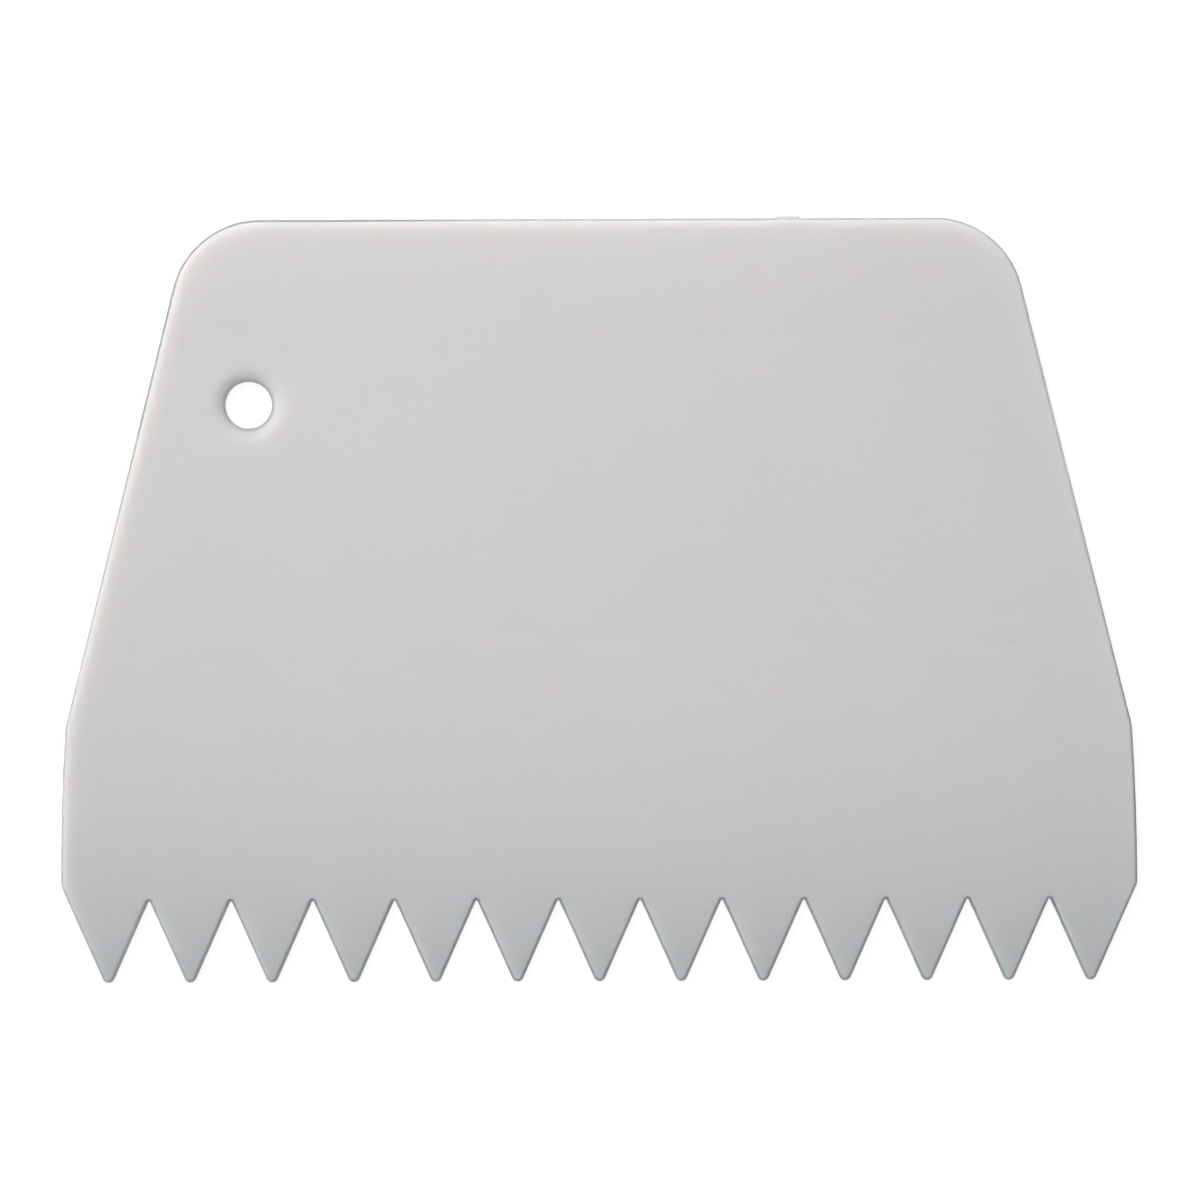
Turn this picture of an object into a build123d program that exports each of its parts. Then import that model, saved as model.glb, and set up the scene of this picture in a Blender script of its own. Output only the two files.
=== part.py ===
from build123d import *
from math import radians, sin, tan
import os

# Icing comb: one plate of moulded plastic, lying on its flat back with the front face up.
# X runs along the row of teeth, Y from the tooth tips to the grip edge, Z through the plate.
# The origin is on the back face, midway between the tooth tips and the grip edge.

# Outline of the plate
overall_width = 120.0  # across the plate just above the teeth, its widest place
overall_length = 85.0  # from the tooth tips to the grip edge
grip_width = 90.8  # along the grip edge, out to where the slanted sides would meet it
grip_corner_radius = 10.0
shoulder_height = 28.4  # from the tooth tips to the shoulders, where the sides turn inward
shoulder_draw = 0.55  # how far each side has already drawn in at its shoulder
shoulder_radius = 5.0
side_foot_radius = 0.8  # where a side turns into the outer flank of an end tooth

# Teeth
tooth_count = 13
tooth_angle = 48.0  # degrees between the two flanks of a tooth
tooth_tip_radius = 0.7
tooth_root_radius = 0.12
end_land = 0.7  # from the root of an end tooth out to the side of the plate

# Thickness, from the flat back up to the front face
blade_thickness = 2.0
tooth_thickness = 1.0  # on the line where the flanks of each tooth would meet
taper_height = 38.0  # from the tooth tips up to where the front starts to fall towards them
crown_rise = 0.09  # how far the ridge across the grip stands above the blade
grip_edge_fall = 0.16  # how far the front falls again from the ridge to the grip edge
crown_to_grip_edge = 8.3
crown_to_blade = 4.4  # from the ridge down to where the front is flat
front_edge_radius = 0.45
back_edge_chamfer = 0.15

# Hanging hole, with a soft lip on the front
hole_radius = 2.6
hole_to_grip_edge = 20.65
hole_to_side = 11.65  # along the row, to the slanted side
lip_width = 1.15  # the lip is a cone, this much wider than the hole all round
lip_angle = 118.0  # degrees across that cone
lip_mouth_radius = 0.4  # where the cone turns down into the hole
lip_outer_radius = 2.3  # where the cone runs out into the front face

# Marks that the mould leaves
gate_offset = 21.3  # along the grip edge, from its middle
gate_width = 2.6
gate_height = 1.0
gate_stub = 0.18  # how far the trimmed gate stands out of the grip edge
ejector_radius = 3.0
ejector_depth = 0.1
ejector_columns = 3
ejector_rows = 2
ejector_column_spacing = 36.0
ejector_row_spacing = 30.0
ejectors_to_tips = 35.5  # from the tooth tips to the middle of the pattern

# Lines across the plate, as distances along Y.
grip_line = overall_length / 2
tip_line = -overall_length / 2
shoulder_line = tip_line + shoulder_height
crown_line = grip_line - crown_to_grip_edge
blade_line = crown_line - crown_to_blade
taper_line = tip_line + taper_height
hole_line = grip_line - hole_to_grip_edge

# Each tooth starts as a sharp triangle, whose apex is rounded back to the tip line.
half_tooth_angle = radians(tooth_angle / 2)
tooth_pitch = (overall_width - 2 * end_land) / tooth_count
apex_line = tip_line - tooth_tip_radius * (1 / sin(half_tooth_angle) - 1)
root_line = apex_line + tooth_pitch / 2 / tan(half_tooth_angle)
side_foot_line = root_line + end_land / tan(half_tooth_angle)

# The hole keeps its distance from the slanted side, whatever the slant.
shoulder_half_width = overall_width / 2 - shoulder_draw
side_slant = (shoulder_half_width - grip_width / 2) / (grip_line - shoulder_line)
hole_offset = grip_width / 2 + hole_to_grip_edge * side_slant - hole_to_side

# Height of the front face on those lines.
crown_thickness = blade_thickness + crown_rise
grip_edge_thickness = crown_thickness - grip_edge_fall

with BuildPart() as comb_plate:
    # The outline: half of the plate down to the tooth roots, mirrored, then the row of teeth.
    with BuildSketch() as outline:
        with BuildLine():
            root_corner = (overall_width / 2 - end_land, root_line)
            foot = Line(root_corner, (overall_width / 2, side_foot_line))
            side = TangentArc(foot @ 1, (shoulder_half_width, shoulder_line), tangent=(0, 1))
            slant = Line(side @ 1, (grip_width / 2, grip_line))
            Polyline(slant @ 1, (0, grip_line), (0, root_line), root_corner)
        make_face()
        mirror(about=Plane.YZ)
        with Locations((0, root_line)):
            with GridLocations(tooth_pitch, 0, tooth_count, 1):
                apex = (0, apex_line - root_line)
                Polygon((-tooth_pitch / 2, 0), apex, (tooth_pitch / 2, 0), align=None)
        # The corners lie in five rows: tips, roots, feet of the sides, shoulders and grip corners.
        fillet(outline.vertices().group_by(Axis.Y)[-2], shoulder_radius)
        fillet(outline.vertices().group_by(Axis.Y)[-1], grip_corner_radius)
        fillet(outline.vertices().group_by(Axis.Y)[2], side_foot_radius)
        fillet(outline.vertices().group_by(Axis.Y)[1], tooth_root_radius)
        fillet(outline.vertices().group_by(Axis.Y)[0], tooth_tip_radius)
    extrude(amount=2 * crown_thickness)

    # The front face is one profile carried across the plate: the teeth taper, the blade is flat,
    # and a low ridge with hollow and round flanks crosses the grip.
    with BuildSketch(Plane.YZ) as section:
        with BuildLine():
            tooth_end = (apex_line, tooth_thickness)
            ridge = (crown_line, crown_thickness)
            grip_edge = (grip_line, grip_edge_thickness)
            ridge_foot_middle = ((blade_line + crown_line) / 2, blade_thickness + crown_rise / 2)
            taper = TangentArc((taper_line, blade_thickness), tooth_end, tangent=(-1, 0))
            blade = Line(taper @ 0, (blade_line, blade_thickness))
            TangentArc(blade @ 1, ridge_foot_middle, tangent=(1, 0))
            TangentArc(ridge, ridge_foot_middle, tangent=(-1, 0))
            TangentArc(ridge, grip_edge, tangent=(1, 0))
            Polyline(grip_edge, (grip_line, 0), (apex_line, 0), tooth_end)
        make_face()
    extrude(amount=overall_width, both=True, mode=Mode.INTERSECT)

    # The rim of the front is rounded all the way round the plate and every tooth. The seams
    # inside the front belong to two of its faces, the rim only to one.
    front = comb_plate.faces().filter_by(lambda face: face.normal_at().Z > 0.5)
    rim = front.edges().filter_by(lambda edge: front.edges().count(edge) == 1)
    fillet(rim, front_edge_radius)

    # The hanging hole and its lip.
    with Locations((-hole_offset, hole_line, blade_thickness)):
        CounterSinkHole(hole_radius, hole_radius + lip_width, counter_sink_angle=lip_angle)
    lip = comb_plate.faces().filter_by(GeomType.CONE).edges().filter_by(GeomType.CIRCLE)
    fillet(lip.sort_by(Axis.Z)[-1], lip_outer_radius)
    lip = comb_plate.faces().filter_by(GeomType.CONE).edges().filter_by(GeomType.CIRCLE)
    fillet(lip.sort_by(Axis.Z)[0], lip_mouth_radius)

    # The edges of the back are only just broken, all round the plate and the hole.
    chamfer(comb_plate.faces().sort_by(Axis.Z)[0].edges(), back_edge_chamfer)

    # The trimmed gate, halfway up the grip edge.
    with BuildSketch(Plane.XZ.offset(-grip_line)):
        with Locations((gate_offset, grip_edge_thickness / 2)):
            Rectangle(gate_width, gate_height)
    extrude(amount=-gate_stub)

    # The round marks of the ejector pins, in the back.
    with BuildSketch():
        with Locations((0, tip_line + ejectors_to_tips)):
            with GridLocations(ejector_column_spacing, ejector_row_spacing, ejector_columns, ejector_rows):
                Circle(ejector_radius)
    extrude(amount=ejector_depth, mode=Mode.SUBTRACT)
comb_plate.part.label = "comb_plate"

os.makedirs("parts", exist_ok=True)
export_step(comb_plate.part, "parts/comb_plate.step")
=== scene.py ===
import random
from cmath import phase, rect
from math import ceil, copysign, cos, pi, radians, sin, sqrt, tan

import bmesh
import bpy
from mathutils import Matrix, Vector
from mathutils.geometry import delaunay_2d_cdt
from mathutils.kdtree import KDTree


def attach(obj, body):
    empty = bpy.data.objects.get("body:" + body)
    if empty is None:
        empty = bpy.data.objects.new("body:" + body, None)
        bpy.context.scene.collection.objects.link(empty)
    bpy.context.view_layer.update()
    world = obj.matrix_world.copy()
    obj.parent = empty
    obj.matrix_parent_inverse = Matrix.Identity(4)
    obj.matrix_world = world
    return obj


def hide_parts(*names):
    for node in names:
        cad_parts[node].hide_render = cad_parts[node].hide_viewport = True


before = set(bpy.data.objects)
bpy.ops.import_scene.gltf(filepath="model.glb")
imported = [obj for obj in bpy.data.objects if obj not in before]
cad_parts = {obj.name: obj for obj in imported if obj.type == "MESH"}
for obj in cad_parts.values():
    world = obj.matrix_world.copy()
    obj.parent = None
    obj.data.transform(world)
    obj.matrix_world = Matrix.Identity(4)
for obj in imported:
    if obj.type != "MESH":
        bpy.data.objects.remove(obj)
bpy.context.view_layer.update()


# The comb plate
# The whole tool is one plate of white polypropylene, moulded in one shot: thirteen teeth, a blade that
# tapers into them, a low crown along the grip edge and a hanging hole with a soft lip. The gate was
# trimmed off the grip edge, and the ejector pins left round marks in the flat back.

# Sizes are in millimetres: X along the teeth, Y from the tips to the grip edge, Z up from the back.
mm = 0.001
overall_width = 120.0
overall_length = 85.0
grip_width = 90.8
grip_corner_radius = 10.0
shoulder_height = 28.4
shoulder_draw = 0.55
shoulder_radius = 5.0
side_foot_radius = 0.8
tooth_count = 13
half_tooth_angle = radians(24)
tooth_tip_radius = 0.7
tooth_root_radius = 0.12
end_land = 0.7
grip_line = overall_length / 2
tip_line = -overall_length / 2
shoulder_line = tip_line + shoulder_height
tooth_pitch = (overall_width - 2 * end_land) / tooth_count
apex_line = tip_line - tooth_tip_radius * (1 / sin(half_tooth_angle) - 1)
root_line = apex_line + tooth_pitch / 2 / tan(half_tooth_angle)
side_foot_line = root_line + end_land / tan(half_tooth_angle)

blade_thickness = 2.0
tooth_thinning = 1.0
taper_height = 38.0
taper_line = tip_line + taper_height
crown_rise = 0.09
grip_edge_fall = 0.16
crown_to_grip_edge = 8.3
crown_to_blade = 4.4
crown_line = grip_line - crown_to_grip_edge
blade_line = crown_line - crown_to_blade
crown_side_line = (blade_line + crown_line) / 2
crown_thickness = blade_thickness + crown_rise
front_edge_radius = 0.42
back_edge_radius = 0.15
parting_step = 0.08
parting_height = 0.55

# Turns between the points round a corner of a line, and the radius from which corners take the finer one.
small_corner_turn = radians(11)
large_corner_turn = radians(4)
large_corner_radius = 3.0


def arc_drop(reach, whole_reach, whole_drop):
    """How far an arc that starts level has dropped at one reach, from its drop at its whole reach."""
    radius = (whole_reach**2 + whole_drop**2) / (2 * whole_drop)
    return radius - sqrt(radius**2 - reach**2)


def front_height(y):
    """Height of the front face on one line across the plate."""
    if y < taper_line:
        return blade_thickness - arc_drop(taper_line - y, taper_line - apex_line, tooth_thinning)
    if y < blade_line:
        return blade_thickness
    if y < crown_side_line:
        return blade_thickness + arc_drop(y - blade_line, crown_side_line - blade_line, crown_rise / 2)
    if y < crown_line:
        return crown_thickness - arc_drop(crown_line - y, crown_line - crown_side_line, crown_rise / 2)
    return crown_thickness - arc_drop(y - crown_line, grip_line - crown_line, grip_edge_fall)


def rounded(corners, longest_run, closed=True):
    """Points along a line that rounds its corners (x, y, radius), each with the direction to its left."""
    places = [complex(x, y) for x, y, radius in corners]
    runs = [after - before for before, after in zip(places, places[1:] + places[:1])]
    ways = [run / abs(run) for run in runs]
    if not closed:
        ways[-1] = ways[-2]
    line = []
    for i, (place, (x, y, radius)) in enumerate(zip(places, corners)):
        arriving = ways[i - 1] if closed or i else ways[0]
        turn = phase(ways[i] / arriving)
        start = place - arriving * radius * tan(abs(turn) / 2)
        centre = start + 1j * arriving * copysign(radius, turn)
        step_turn = small_corner_turn if radius < large_corner_radius else large_corner_turn
        steps = ceil(abs(turn) / step_turn) if radius else 0
        for step in range(steps + 1):
            way = arriving * rect(1, turn * step / steps if steps else turn / 2)
            spot = centre - 1j * way * copysign(radius, turn) if steps else place
            if step == 0 and line:
                fill_run(line, spot, longest_run)
            line.append((spot, 1j * way))
    if closed:
        fill_run(line, line[0][0], longest_run)
    return line


def fill_run(line, end, longest_run):
    """Divides the straight run from a line's last point to its next one."""
    run = end - line[-1][0]
    parts = ceil(abs(run) / longest_run)
    start = line[-1][0]
    for part in range(1, parts):
        line.append((start + run * part / parts, 1j * run / abs(run)))


# The outline runs anticlockwise from the left end of the row of teeth, so its left is inward.
tooth_centres = [tooth_pitch * (i - (tooth_count - 1) / 2) for i in range(tooth_count)]
outline_corners = []
for centre in tooth_centres:
    outline_corners.append((centre, apex_line, tooth_tip_radius))
    outline_corners.append((centre + tooth_pitch / 2, root_line, tooth_root_radius))
outline_corners[-1] = (overall_width / 2, side_foot_line, side_foot_radius)
bow_length = shoulder_line - side_foot_line
bow = []
for share in (0.25, 0.5, 0.75):
    inward = arc_drop(bow_length * share, bow_length, shoulder_draw)
    bow.append((overall_width / 2 - inward, side_foot_line + bow_length * share, 0))
right_side = bow + [
    (overall_width / 2 - shoulder_draw, shoulder_line, shoulder_radius),
    (grip_width / 2, grip_line, grip_corner_radius),
]
gate_centre = 21.3
gate_width = 2.6
gate_slope = 0.06
gate_stub = 0.18
gate_corners = []
for share in (1, 0.75, 0.5, 0.25, 0, -0.25, -0.5, -0.75, -1):
    gate_corners.append((gate_centre + (gate_width / 2 - gate_slope) * share, grip_line, 0))
gate_corners.insert(0, (gate_centre + gate_width / 2, grip_line, 0))
gate_corners.append((gate_centre - gate_width / 2, grip_line, 0))
left_side = [(-x, y, radius) for x, y, radius in reversed(right_side)]
left_foot = (-overall_width / 2, side_foot_line, side_foot_radius)
outline_run = 1.0
outline = rounded(outline_corners + right_side + gate_corners + left_side + [left_foot], outline_run)

plate_mesh = bmesh.new()
# Two painted layers on the corners: a dark outline of painted shade, and a cool painted sheen on the rim.
painted_edge_shade = plate_mesh.verts.layers.float.new("painted_edge_shade")
painted_rim_sheen = plate_mesh.verts.layers.float.new("painted_rim_sheen")


def ring(points):
    """New corners of the mesh at these places, in millimetres."""
    return [plate_mesh.verts.new(Vector(point) * mm) for point in points]


def skin(rings):
    """Closes the band between each two rings of equal count."""
    for lower, upper in zip(rings, rings[1:]):
        for i in range(len(lower)):
            plate_mesh.faces.new((lower[i - 1], lower[i], upper[i], upper[i - 1]))


def fill(borders, spacing, height):
    """Fills a face out to its first border and in to the others, with corners on an even lattice."""
    clear_share = 0.6
    merge_gap = 1e-6
    inside_borders = 1
    corners = [v for border in borders for v in border]
    spots = [v.co.xy / mm for v in corners]
    near = KDTree(len(spots))
    for i, spot in enumerate(spots):
        near.insert(spot.to_3d(), i)
    near.balance()
    outer = spots[: len(borders[0])]
    low, high = ([limit(spot[axis] for spot in outer) for axis in (0, 1)] for limit in (min, max))
    columns, rows = (ceil((high[axis] - low[axis]) / spacing) for axis in (0, 1))
    for column in range(columns):
        for row in range(rows):
            spot = Vector((low[0] + (column + 0.5) * spacing, low[1] + (row + 0.5) * spacing))
            if near.find(spot.to_3d())[2] > spacing * clear_share:
                spots.append(spot)
                corners.append(None)
    loops = []
    for border in borders:
        first = sum(len(loop) for loop in loops)
        loops.append(range(first, first + len(border)))
    places, _, faces, sources, _, covers = delaunay_2d_cdt(spots, [], loops, inside_borders, merge_gap)
    used = {}
    triangles = []
    for face, cover in zip(faces, covers):
        if list(cover) != [0]:
            continue
        for i in face:
            if i not in used:
                x, y = places[i]
                used[i] = corners[sources[i][0]] or ring([(x, y, height(y))])[0]
        triangles.append(plate_mesh.faces.new([used[i] for i in face]))
    bmesh.ops.join_triangles(
        plate_mesh, faces=triangles, angle_face_threshold=radians(20), angle_shape_threshold=radians(50)
    )


# Round the wall: the broken back edge, the small step where the two halves of the mould parted, and
# the rounded front rim. The trimmed gate stands across the step, its end torn a little uneven.
random.seed(7)
back_margin = 0.4
gate_foot = 0.42
gate_slant = 0.05
gate_reach = 0.5
gate_tear_share = 0.75
parting_bend = 0.02
parting_slant = 0.05
rim_margin = 0.07


def wall_ring(set_in, height, on_gate=False):
    """A ring round the wall, set in from the outline, at a height that may depend on its place in Y."""
    points = []
    for spot, inward in outline:
        spot = spot + inward * set_in
        off_middle = abs(spot.real - gate_centre)
        if on_gate and spot.imag > grip_line - gate_reach and off_middle < gate_width / 2 - gate_slope / 2:
            spot = complex(spot.real, grip_line + gate_stub * random.uniform(gate_tear_share, 1))
        points.append((spot.real, spot.imag, height(spot.imag) if callable(height) else height))
    return ring(points)


lower_rings = [wall_ring(back_margin, 0)]
for turn in (0, 45, 90):
    set_in = back_edge_radius * (1 - sin(radians(turn)))
    lower_rings.append(wall_ring(set_in, back_edge_radius * (1 - cos(radians(turn)))))
lower_rings.append(wall_ring(0, gate_foot))
step_section = (
    (0, gate_foot + gate_slant),
    (0, parting_height - parting_bend),
    (parting_bend, parting_height),
    (parting_step - parting_bend, parting_height + parting_bend / 2),
)
for set_in, height in step_section:
    lower_rings.append(wall_ring(set_in, height, on_gate=True))


def upper_wall(share):
    """Height on the wall above the parting step, as a share of the way up to the rim."""
    foot = parting_height + parting_slant
    return lambda y: foot + (front_height(y) - front_edge_radius - foot) * share


upper_rings = []
for share in (0, 0.3, 0.6, 0.9, 1):
    upper_rings.append(wall_ring(parting_step, upper_wall(share), on_gate=share < 1))
rim_rings = []
for turn in range(10, 91, 10):
    set_in = parting_step + front_edge_radius * (1 - cos(radians(turn)))
    drop = front_edge_radius * (1 - sin(radians(turn)))
    rim_rings.append(wall_ring(set_in, lambda y: front_height(y) - drop))
inner_ring = wall_ring(parting_step + front_edge_radius + rim_margin, front_height)
skin(lower_rings + upper_rings + rim_rings + [inner_ring])

# A faint grey line of painted shade, a dark outline, is painted round the outermost edge: most at the corner
# by the hole and low on the other side, least at the teeth below the hole and halfway down the other side.
line_strength = 0.72
gate_line_strength = 0.35
# Each place along the rim, how far its effect reaches, and how much it adds to the line or takes from it.
edge_shade_places = (
    (Vector((-42, 40)), 30, 1.3),
    (Vector((-60, -38)), 45, -0.3),
    (Vector((60, -24)), 20, 0.25),
    (Vector((54, 18)), 30, -0.42),
)
line_shares = (0.1, 0.3, 0.6, 0.8, 1, 1, 1, 1, 0.7, 0.25)
for line_share, border in zip(line_shares, upper_rings[2:] + rim_rings[:7]):
    for corner in border:
        spot = corner.co.xy / mm
        strength = line_strength
        for middle, reach, change in edge_shade_places:
            strength += change * max(0, 1 - (spot - middle).length / reach)
        if spot.y > grip_line - gate_reach and abs(spot.x - gate_centre) < gate_width / 2:
            strength = gate_line_strength
        corner[painted_edge_shade] = min(line_share * strength, 1)

# Just inside that line a cool painted sheen, the room's daylight painted on as a reflection, tints the rim,
# less so on the teeth.
tooth_sheen_share = 0.4
for polish, border in zip((0.3, 0.7, 1, 1, 1, 0.8, 0.3), rim_rings[2:]):
    for corner in border:
        corner[painted_rim_sheen] = polish * (1 if corner.co.y > root_line * mm else tooth_sheen_share)

# The hanging hole: its wall, the mouth above it, the cone of the lip and where that runs out flat.
hole_centre = complex(-38.876, 21.85)
hole_radius = 2.6
hole_margin = 0.5
hole_sides = 72
lip_width = 1.15
half_lip_angle = radians(59)
lip_depth = lip_width / tan(half_lip_angle)
lip_mouth_radius = 0.4
lip_outer_radius = 2.3
lip_margin = 0.9
hole_run = 0.08
hole_corners = [
    (hole_radius + hole_margin, 0, 0),
    (hole_radius, 0, back_edge_radius),
    (hole_radius, blade_thickness - lip_depth, lip_mouth_radius),
    (hole_radius + lip_width, blade_thickness, lip_outer_radius),
    (hole_radius + lip_width + lip_margin, blade_thickness, 0),
]
hole_section = rounded(hole_corners, hole_run, closed=False)
hole_rings = []
for spot, _ in hole_section:
    circle = [hole_centre + rect(spot.real, 2 * pi * i / hole_sides) for i in range(hole_sides)]
    hole_rings.append(ring([(p.real, p.imag, spot.imag) for p in circle]))
skin(hole_rings)
# Painted shade also darkens the mouth of the hole as a dark ring, and greys the lip on its lit side away
# from the corner.
hole_shade_foot = 1.1
mouth_mark_width = 0.45
mouth_mark_fade = 0.3
mouth_mark_strength = 0.5
mouth_mark_swing = 0.2
mouth_mark_side = radians(-45)
lip_mark_start = 0.05
lip_mark_rise = 0.2
lip_mark_width = 2
lip_mark_fade = 1.5
lip_mark_strength = 0.32
lip_mark_side = radians(-72)
for (spot, _), border in zip(hole_section, hole_rings):
    if spot.imag > hole_shade_foot:
        out = spot.real - hole_radius
        mouth_share = min(max((mouth_mark_width - out) / mouth_mark_fade, 0), 1)
        rising = max((out - lip_mark_start) / lip_mark_rise, 0)
        falling = max((lip_mark_width - out) / lip_mark_fade, 0)
        lip_share = min(rising, falling, 1)
        for i, corner in enumerate(border):
            angle = 2 * pi * i / hole_sides
            mouth = mouth_mark_strength + mouth_mark_swing * cos(angle - mouth_mark_side)
            lip = lip_mark_strength * max(0, cos(angle - lip_mark_side)) ** 2
            corner[painted_edge_shade] = mouth_share * mouth + lip_share * lip

# The ejector marks: shallow round steps up into the back, with soft edges.
ejector_radius = 3.0
ejector_depth = 0.1
ejector_sides = 48
ejector_columns = (-36, 0, 36)
ejector_rows = (-22, 8)
mark_section = ((0.08, 0), (0.02, 0.01), (0, 0.04), (-0.03, 0.08), (-0.1, ejector_depth))
mark_borders = []
mark_spacing = 1.2
for x in ejector_columns:
    for y in ejector_rows:
        steps = []
        for spread, height in mark_section:
            arms = [rect(ejector_radius + spread, 2 * pi * i / ejector_sides) for i in range(ejector_sides)]
            steps.append(ring([(x + arm.real, y + arm.imag, height) for arm in arms]))
        skin(steps)
        mark_borders.append(steps[0])
        fill([steps[-1]], mark_spacing, lambda y: ejector_depth)

# The front and the back, filled in between.
front_spacing = 1.25
back_spacing = 2.5
fill([inner_ring, hole_rings[-1]], front_spacing, front_height)
fill([lower_rings[0], hole_rings[0]] + mark_borders, back_spacing, lambda y: 0)
bmesh.ops.recalc_face_normals(plate_mesh, faces=plate_mesh.faces)
for face in plate_mesh.faces:
    face.smooth = True
mesh = bpy.data.meshes.new("moulded_plate")
plate_mesh.to_mesh(mesh)
plate_mesh.free()
plate = bpy.data.objects.new("moulded_plate", mesh)
bpy.context.scene.collection.objects.link(plate)


class Wire:
    """One output of a material's nodes. Arithmetic on wires adds the nodes that work it out."""

    def __init__(self, socket):
        self.socket = socket

    def node(self, kind, settings, inputs, output=0):
        """A new node in the same material, set up, then fed with values and wires by its sockets' names."""
        node = self.socket.id_data.nodes.new("ShaderNode" + kind)
        for name, setting in settings.items():
            setattr(node, name, setting)
        for name, value in inputs.items():
            if isinstance(value, Wire):
                self.socket.id_data.links.new(value.socket, node.inputs[name])
            else:
                node.inputs[name].default_value = value
        return Wire(node.outputs[output])

    def math(self, operation, first, second=0.0, clamp=False):
        return self.node("Math", {"operation": operation, "use_clamp": clamp}, {0: first, 1: second})

    def __add__(self, other):
        return self.math("ADD", self, other)

    def __sub__(self, other):
        return self.math("SUBTRACT", self, other)

    def __rsub__(self, other):
        return self.math("SUBTRACT", other, self)

    def __mul__(self, other):
        return self.math("MULTIPLY", self, other)

    __radd__ = __add__
    __rmul__ = __mul__


# The plastic: satin from the fine etched texture of the mould, faintly cloudy, and a little translucent,
# so that light that enters a rim glows on for a millimetre inside it.
cloudy_white = (0.593, 0.571, 0.57, 1)
clear_white = (0.608, 0.583, 0.581, 1)
# The next three colours are painted light: grey shade towards the teeth, a cool daylight sheen on the rim,
# and a dark outline of shade.
tooth_shade_grey = (0.464, 0.459, 0.462, 1)
painted_daylight = (0.93, 0.99, 1.0, 1)
edge_shade_grey = (0.2, 0.222, 0.232, 1)
tooth_shade_power = 4.0
plain_roughness = 0.38
grain_roughness = 0.05
cloud_roughness = 0.06
edge_shade_roughness = 0.15
grain_relief = 0.8
cloud_relief = 6.0
plastic = bpy.data.materials.new("white_plastic")
plastic.use_nodes = True
shader = plastic.node_tree.nodes["Principled BSDF"]
place = Wire(plastic.node_tree.nodes.new("ShaderNodeTexCoord").outputs["Object"])
grain = place.node("TexNoise", {}, {"Vector": place, "Scale": 3200.0, "Detail": 3.0, "Roughness": 0.6})
cloud = place.node("TexNoise", {}, {"Vector": place, "Scale": 38.0, "Detail": 3.0, "Roughness": 0.55})
tint = place.node("Mix", {"data_type": "RGBA"}, {0: cloud, 6: cloudy_white, 7: clear_white}, output=2)
# Painted shade greys the colour from the taper line down to the tooth tips.
across = place.node("SeparateXYZ", {}, {"Vector": place}, output=1)
tooth_shade = (taper_line * mm - across) * (1 / (taper_height * mm))
tooth_shade = tooth_shade.math("POWER", tooth_shade.math("MAXIMUM", tooth_shade, 0.0), tooth_shade_power)
tint = place.node("Mix", {"data_type": "RGBA"}, {0: tooth_shade, 6: tint, 7: tooth_shade_grey}, output=2)
# Painted light in the colour: a cool painted sheen of daylight on the rim, then the dark painted shade of
# the outline and the hole.
rim_sheen_share = place.node("Attribute", {"attribute_name": "painted_rim_sheen"}, {}, output=2)
multiply = {"data_type": "RGBA", "blend_type": "MULTIPLY"}
tint = place.node("Mix", multiply, {0: rim_sheen_share, 6: tint, 7: painted_daylight}, output=2)
# The dark outline of painted shade, and the painted shade round the hole, from the corners' layer.
edge_shade_mask = place.node("Attribute", {"attribute_name": "painted_edge_shade"}, {}, output=2)
tint = place.node("Mix", {"data_type": "RGBA"}, {0: edge_shade_mask, 6: tint, 7: edge_shade_grey}, output=2)
satin = plain_roughness + grain_roughness * grain + cloud_roughness * cloud + edge_shade_roughness * edge_shade_mask
relief = grain * grain_relief + cloud * cloud_relief
bump = place.node("Bump", {}, {"Height": relief, "Strength": 0.35, "Distance": 0.00001})
for name, wire in (("Base Color", tint), ("Roughness", satin), ("Normal", bump)):
    plastic.node_tree.links.new(wire.socket, shader.inputs[name])
shader.inputs["IOR"].default_value = 1.49
shader.inputs["Specular IOR Level"].default_value = 0.35
shader.inputs["Subsurface Weight"].default_value = 1.0
shader.inputs["Subsurface Radius"].default_value = (1.0, 0.72, 0.62)
shader.inputs["Subsurface Scale"].default_value = 0.006
mesh.materials.append(plastic)

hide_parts("comb_plate")
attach(plate, "root")


# The table that the comb lies on
# A plain white table top, wide enough to fill every view, with the light of the room coming back off it.
table_reach = 4.0
table_gap = 0.00002
table_corners = [(x * table_reach, y * table_reach, 0) for x, y in ((-1, -1), (1, -1), (1, 1), (-1, 1))]
floor_mesh = bpy.data.meshes.new("table_top")
floor_mesh.from_pydata(table_corners, [], [(0, 1, 2, 3)])
floor = bpy.data.objects.new("table_top", floor_mesh)
floor.location.z = -table_gap
bpy.context.scene.collection.objects.link(floor)
white = bpy.data.materials.new("white_table")
white.use_nodes = True
tree = white.node_tree
tree.nodes.clear()
rays = Wire(tree.nodes.new("ShaderNodeLightPath").outputs["Is Camera Ray"])
glossy = Wire(rays.socket.node.outputs["Is Glossy Ray"])
through = Wire(rays.socket.node.outputs["Is Transmission Ray"])
seen = rays.math("ADD", rays + glossy, through, clamp=True)
lit = rays.node("BsdfDiffuse", {}, {"Color": (0.8, 0.8, 0.8, 1)})
dimmed = rays.node("BsdfDiffuse", {}, {"Color": (0.24, 0.24, 0.24, 1)})
glow = rays.node("Emission", {}, {"Color": (1, 1, 1, 1), "Strength": 0.88})
pale = rays.node("AddShader", {}, {0: dimmed, 1: glow})
surface = rays.node("MixShader", {}, {0: seen, 1: lit, 2: pale})
output = tree.nodes.new("ShaderNodeOutputMaterial")
tree.links.new(surface.socket, output.inputs["Surface"])
floor_mesh.materials.append(white)


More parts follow.
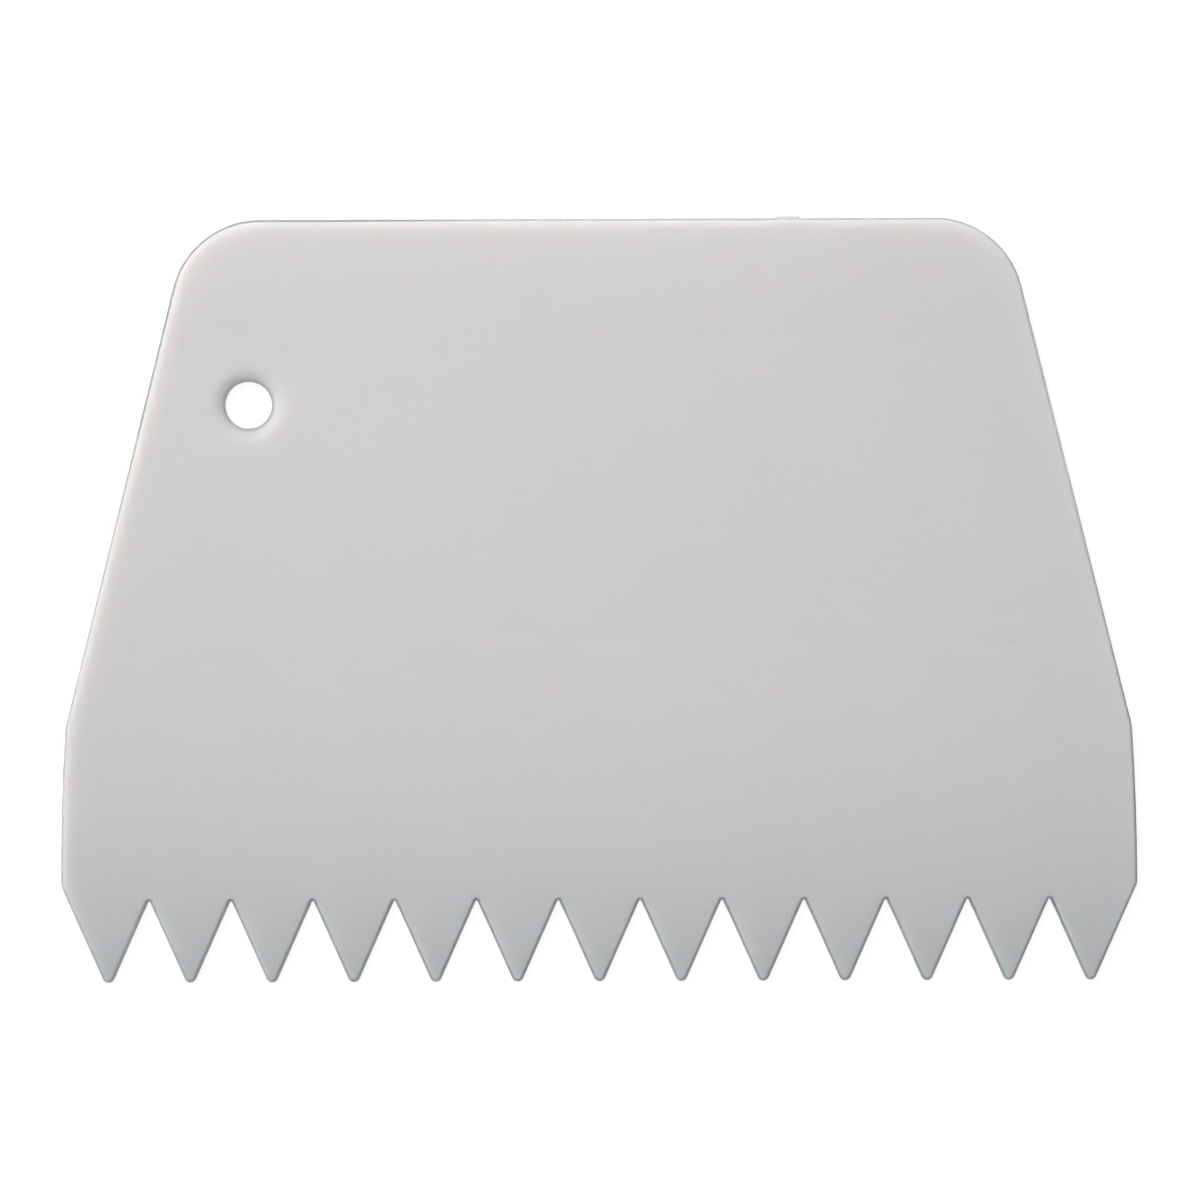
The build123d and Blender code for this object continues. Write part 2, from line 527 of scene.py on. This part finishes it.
# The light
# A soft lamp stands to the upper left like a window, a cooler panel low on the left, and the pale room
# fills in from all round.
world = bpy.data.worlds.new("pale_room")
bpy.context.scene.world = world
world.use_nodes = True
tree = world.node_tree
tree.nodes.clear()
rays = Wire(tree.nodes.new("ShaderNodeLightPath").outputs["Is Camera Ray"])
glossy = Wire(rays.socket.node.outputs["Is Glossy Ray"])
through = Wire(rays.socket.node.outputs["Is Transmission Ray"])
seen = rays.math("ADD", rays + glossy, through, clamp=True)
room = rays.node("Background", {}, {"Color": (0.96, 0.98, 1.0, 1), "Strength": 0.475})
backdrop = rays.node("Background", {}, {"Color": (1, 1, 1, 1), "Strength": 1.0})
surface = rays.node("MixShader", {}, {0: seen, 1: room, 2: backdrop})
output = tree.nodes.new("ShaderNodeOutputWorld")
tree.links.new(surface.socket, output.inputs["Surface"])

lamp = bpy.data.lights.new("window", "AREA")
lamp.shape = "SQUARE"
lamp.size = 0.3
lamp.spread = radians(22)
lamp.energy = 0.285
lamp.color = (1.0, 0.995, 0.99)
window = bpy.data.objects.new("window", lamp)
window.location = (-0.343, 0.508, 0.514)
window_aim = Vector((-0.041, 0.096, 0))
window.rotation_euler = (window_aim - window.location).to_track_quat("-Z", "Y").to_euler()
bpy.context.scene.collection.objects.link(window)

lamp = bpy.data.lights.new("side_panel", "AREA")
lamp.shape = "SQUARE"
lamp.size = 0.3
lamp.energy = 0.5
lamp.color = (0.84, 0.95, 1.0)
panel = bpy.data.objects.new("side_panel", lamp)
panel.location = (-0.62, -0.02, 0.15)
panel.rotation_euler = (-panel.location).to_track_quat("-Z", "Y").to_euler()
bpy.context.scene.collection.objects.link(panel)


# The camera
# It looks straight down from above the middle of the comb, with a long lens.
frame_width = 0.1336
frame_shift = 0.0002
framed_height = 0.0015
frame_turn = radians(-0.2)
camera_data = bpy.data.cameras.new("camera")
camera_data.lens = 200.0
camera_data.sensor_width = 36.0
camera = bpy.data.objects.new("camera", camera_data)
camera.location = (frame_shift, 0, framed_height + frame_width * camera_data.lens / camera_data.sensor_width)
camera.rotation_euler = (0, 0, frame_turn)
bpy.context.scene.collection.objects.link(camera)
bpy.context.scene.camera = camera
bpy.context.scene.view_settings.view_transform = "Standard"
